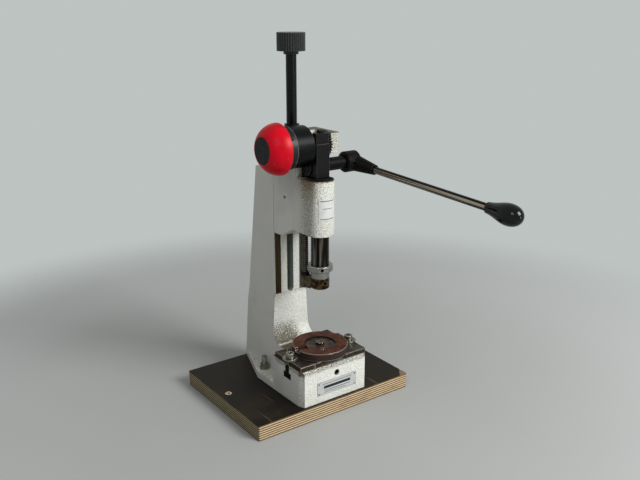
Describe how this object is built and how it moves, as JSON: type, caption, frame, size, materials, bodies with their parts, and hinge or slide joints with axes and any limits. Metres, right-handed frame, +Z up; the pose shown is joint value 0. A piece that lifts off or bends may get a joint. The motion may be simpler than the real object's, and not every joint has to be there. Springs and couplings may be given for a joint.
{
  "type": "bench hand lever press",
  "caption": "Small bench hand press: a side lever drives a ram by rack and pinion above a round anvil; the head slides on a column on a plywood board.",
  "frame": {"origin": "on the board's underside, straight below the ram's axis", "axes": "+Z up, along the ram and the column; -Y toward the operator; +X toward the lever"},
  "size_m": [0.2175, 0.3634, 0.43],
  "materials": {
    "film_faced_plywood": "satin",
    "white_structure_paint": "structured enamel",
    "zinc_steel": "zinc plated",
    "label_aluminium": "satin",
    "label_film": "matt",
    "dark_oxide_steel": "oiled",
    "rusted_steel": "machined, rust brown",
    "bright_steel": "ground",
    "ram_steel": "polished dark",
    "black_oxide": "black oxide",
    "brown_steel": "browned",
    "bronze": "bearing bronze",
    "black_plastic": "satin",
    "red_plastic": "satin",
    "gloss_black": "polished"
  },
  "bodies": {
    "frame": {"plywood_board": "film_faced_plywood", "board_bolts": "zinc_steel", "board_washers": "zinc_steel", "board_nuts": "zinc_steel", "frame_casting": "white_structure_paint", "front_plug": "black_oxide", "label_plate": "label_aluminium", "label_rivets": "zinc_steel", "table_plate": "dark_oxide_steel", "clamp_washers": "zinc_steel", "clamp_screws": "zinc_steel", "slot_nuts": "dark_oxide_steel", "anvil_pivot": "bright_steel", "spindle_nut": "dark_oxide_steel"},
    "anvil": {"anvil_disc": "rusted_steel", "anvil_insert": "dark_oxide_steel", "anvil_insert_screw": "zinc_steel"},
    "head": {"head_casting": "white_structure_paint", "slide_jaw": "dark_oxide_steel", "jaw_screws": "zinc_steel", "flank_set_screw": "black_oxide", "ram_bush_lower": "bronze", "ram_bush_upper": "bronze", "blank_label": "label_film", "bearing_yoke": "black_oxide", "shaft_bush_left": "bronze", "shaft_bush_right": "bronze", "spring_drum": "black_plastic", "drum_ring": "black_plastic", "ring_screws": "black_oxide", "drum_bush_left": "bronze", "drum_bush_right": "bronze", "clock_spring": "dark_oxide_steel"},
    "spindle": {"elevating_spindle": "black_oxide", "spindle_knob": "black_oxide", "thrust_collar_lower": "black_oxide", "thrust_collar_upper": "black_oxide"},
    "lever": {"lever_shaft": "black_oxide", "drive_pinion": "black_oxide", "shaft_gear": "black_oxide", "shaft_retaining_ring": "black_oxide", "lever_hub": "black_oxide", "hub_set_screw": "black_oxide", "lever_rod": "bright_steel", "lever_knob": "gloss_black"},
    "drum_shaft": {"drum_shaft": "bright_steel", "drum_gear": "black_oxide"},
    "tension_dome": {"tension_dome": "red_plastic", "dome_cap": "black_plastic"},
    "ram": {"ram": "ram_steel", "ram_band": "bright_steel", "stop_collar": "bright_steel", "collar_screw": "black_oxide", "tool_screw": "black_oxide", "ram_top_screw": "ram_steel", "stop_rod": "black_oxide", "stop_rod_arm": "brown_steel", "stop_rod_nut": "black_oxide"}
  },
  "joints": [
    {"name": "head_slide", "type": "slide", "parent": "frame", "child": "head", "axis": [0, 0, 1], "range_m": [-0.024, 0.02]},
    {"name": "spindle_turn", "type": "hinge", "parent": "head", "child": "spindle", "pos_m": [0, 0.0546, 0.2745], "axis": [0, 0, 1], "range_deg": [-2881, 2401]},
    {"name": "lever_turn", "type": "hinge", "parent": "head", "child": "lever", "pos_m": [0, 0.012, 0.2866], "axis": [1, 0, 0], "range_deg": [0, 160], "stiffness_Nm_per_rad": 0.3, "springref_deg": -126.05},
    {"name": "ram_slide", "type": "slide", "parent": "head", "child": "ram", "axis": [0, 0, 1], "range_m": [-0.028, 0]},
    {"name": "drum_shaft_turn", "type": "hinge", "parent": "head", "child": "drum_shaft", "pos_m": [0, 0.012, 0.3111], "axis": [1, 0, 0], "range_deg": [-112, 0]},
    {"name": "tension_turn", "type": "hinge", "parent": "head", "child": "tension_dome", "pos_m": [0, 0.012, 0.3111], "axis": [1, 0, 0], "range_deg": [-170, 170]},
    {"name": "anvil_turn", "type": "hinge", "parent": "frame", "child": "anvil", "pos_m": [0, 0, 0.077], "axis": [0, 0, 1], "continuous": true}
  ],
  "couplings": [
    {"joint": "ram_slide", "follows": "lever_turn", "m_per_rad": -0.01},
    {"joint": "drum_shaft_turn", "follows": "lever_turn", "ratio": -0.68966},
    {"joint": "spindle_turn", "follows": "head_slide", "rad_per_m": 2094.4}
  ]
}
